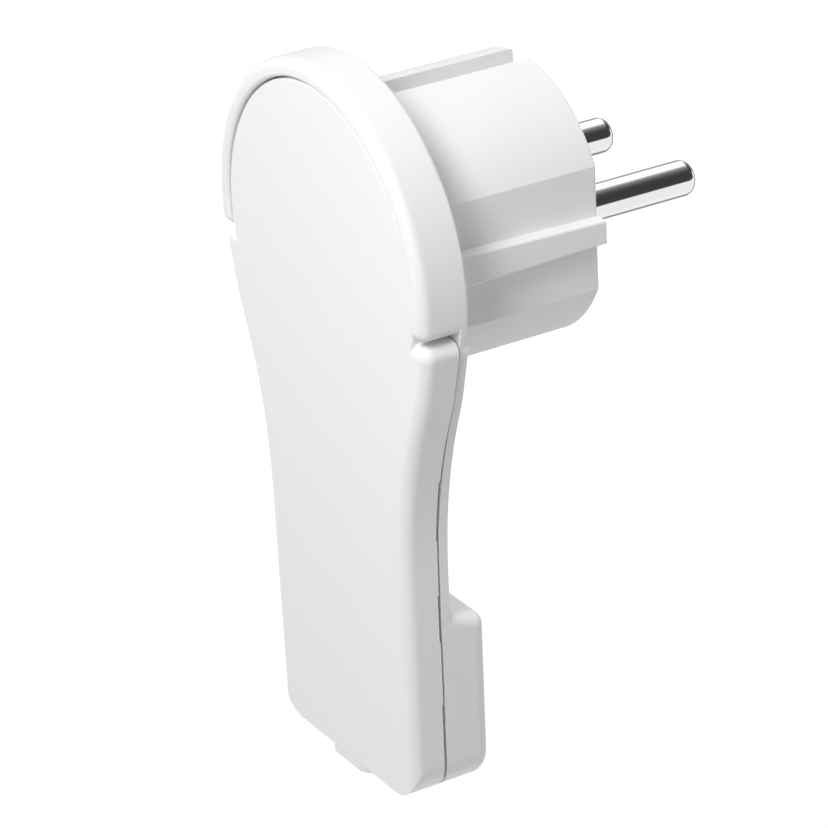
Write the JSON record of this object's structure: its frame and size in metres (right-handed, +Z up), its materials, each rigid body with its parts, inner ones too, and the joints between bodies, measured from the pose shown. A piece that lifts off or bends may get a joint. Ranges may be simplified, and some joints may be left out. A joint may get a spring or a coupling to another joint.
{
  "type": "angled earthed mains plug",
  "caption": "Flat angled earthed mains plug: round insert with earth grooves and nickel pins, raised rim, and a paddle handle along the wall with a cable inlet at its lower end.",
  "frame": {"origin": "on the plug's axis, midway between the pins, in the wall-side plane of the round flange", "axes": "+X right seen from the front, +Y along the pins towards the wall, +Z up; the handle hangs along -Z"},
  "size_m": [0.0508, 0.0507, 0.0993],
  "materials": {
    "shell_white": "moulded white thermoplastic, semi-gloss",
    "nickel": "bright nickel plate on brass",
    "earth_strip": "nickel-plated brass strip, satin",
    "screw_steel": "zinc-plated steel",
    "brass": "plain machined brass",
    "insulator": "pale grey moulded insulating plastic"
  },
  "bodies": {
    "root": {"base_housing": "shell_white", "front_cover": "shell_white", "left_pin": "nickel", "right_pin": "nickel", "pin_clamp_screws": "screw_steel", "pin_retainer": "insulator", "retainer_screw": "screw_steel", "earth_bracket": "earth_strip", "earth_clamp_plate": "screw_steel", "earth_nut": "brass", "earth_screw": "screw_steel", "cord_clamp": "insulator", "cord_clamp_screws": "screw_steel", "cover_screws": "screw_steel"}
  },
  "joints": []
}
